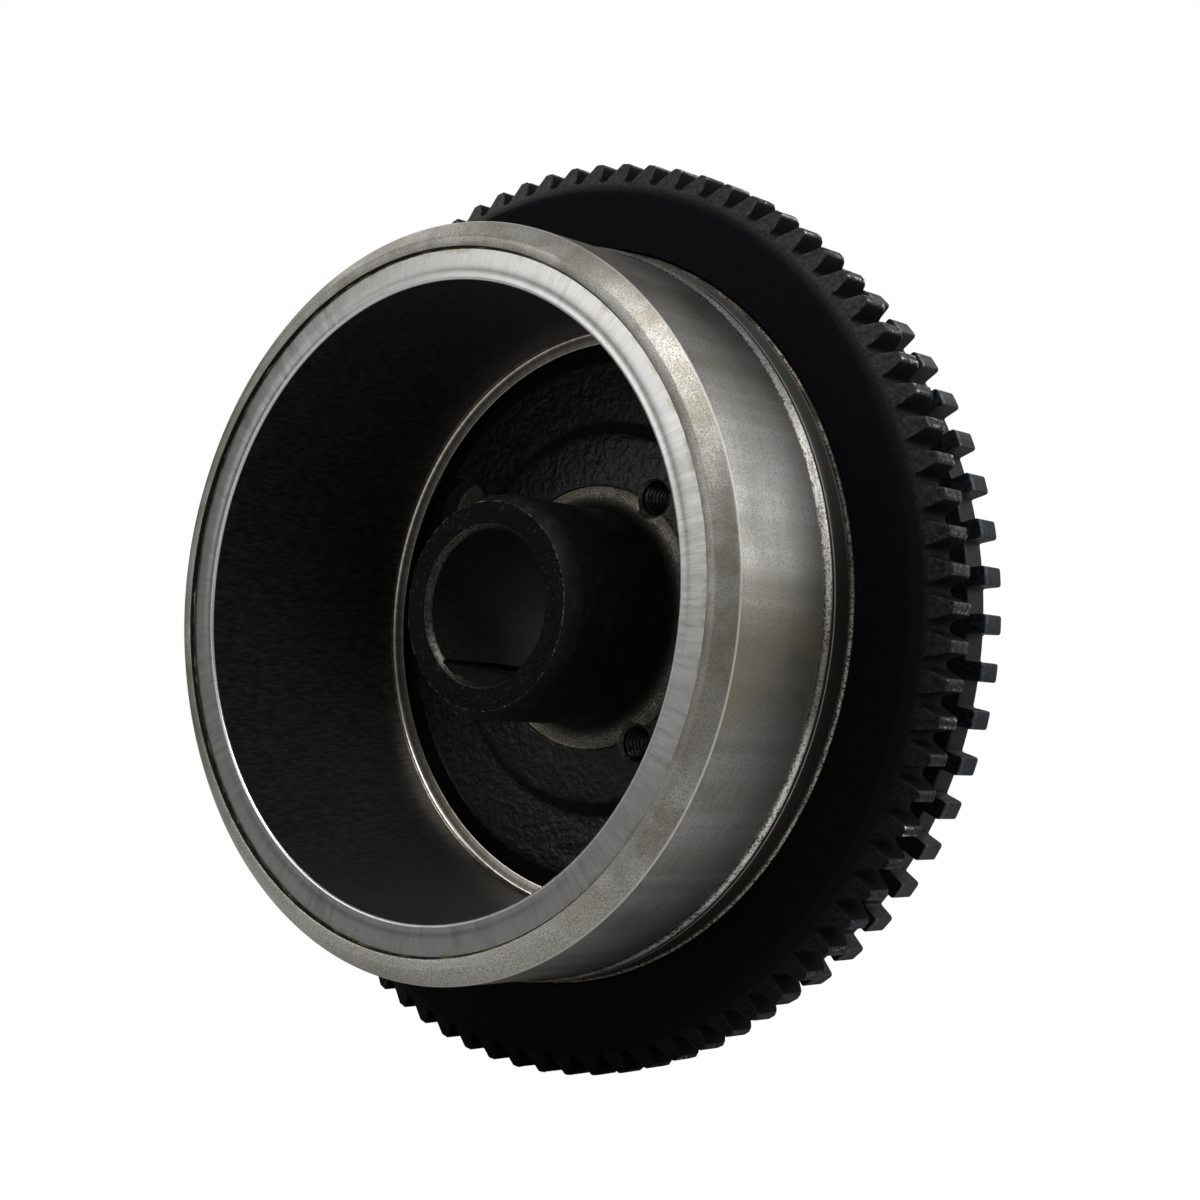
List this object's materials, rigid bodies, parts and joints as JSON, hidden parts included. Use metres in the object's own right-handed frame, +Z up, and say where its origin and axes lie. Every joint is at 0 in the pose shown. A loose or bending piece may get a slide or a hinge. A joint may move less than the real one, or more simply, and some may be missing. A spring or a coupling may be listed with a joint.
{
  "type": "magneto flywheel",
  "caption": "Outer-rotor magneto flywheel: a steel bell with internal arc magnets under a thin sleeve, a tapered hub, a starter ring gear and a square-toothed trigger ring.",
  "frame": {"origin": "on the spin axis, half way between the bell's front face and the hub's rear face", "axes": "+Y along the spin axis towards the engine, so the open mouth faces -Y; +Z up; +X to the right when looking into the engine side's direction +Y"},
  "size_m": [0.156, 0.0594, 0.156],
  "materials": {
    "machined_steel": "turned bare steel outside, black oxide inside",
    "sleeve_steel": "thin bright drawn sheet",
    "gear_steel": "black oxide with worn tooth edges",
    "trigger_steel": "dark oxide, machined teeth",
    "ferrite": "sintered dark grey",
    "cage_plastic": "moulded black",
    "potting": "yellowish cured compound"
  },
  "bodies": {
    "root": {"rotor_bell": "machined_steel", "magnet_cage": "cage_plastic", "magnet_sleeve": "sleeve_steel", "potting_ring": "potting", "ring_gear": "gear_steel", "trigger_ring": "trigger_steel", "magnet_01": "ferrite", "magnet_02": "ferrite", "magnet_03": "ferrite", "magnet_04": "ferrite", "magnet_05": "ferrite", "magnet_06": "ferrite", "magnet_07": "ferrite", "magnet_08": "ferrite", "magnet_09": "ferrite", "magnet_10": "ferrite", "magnet_11": "ferrite", "magnet_12": "ferrite"}
  },
  "joints": []
}
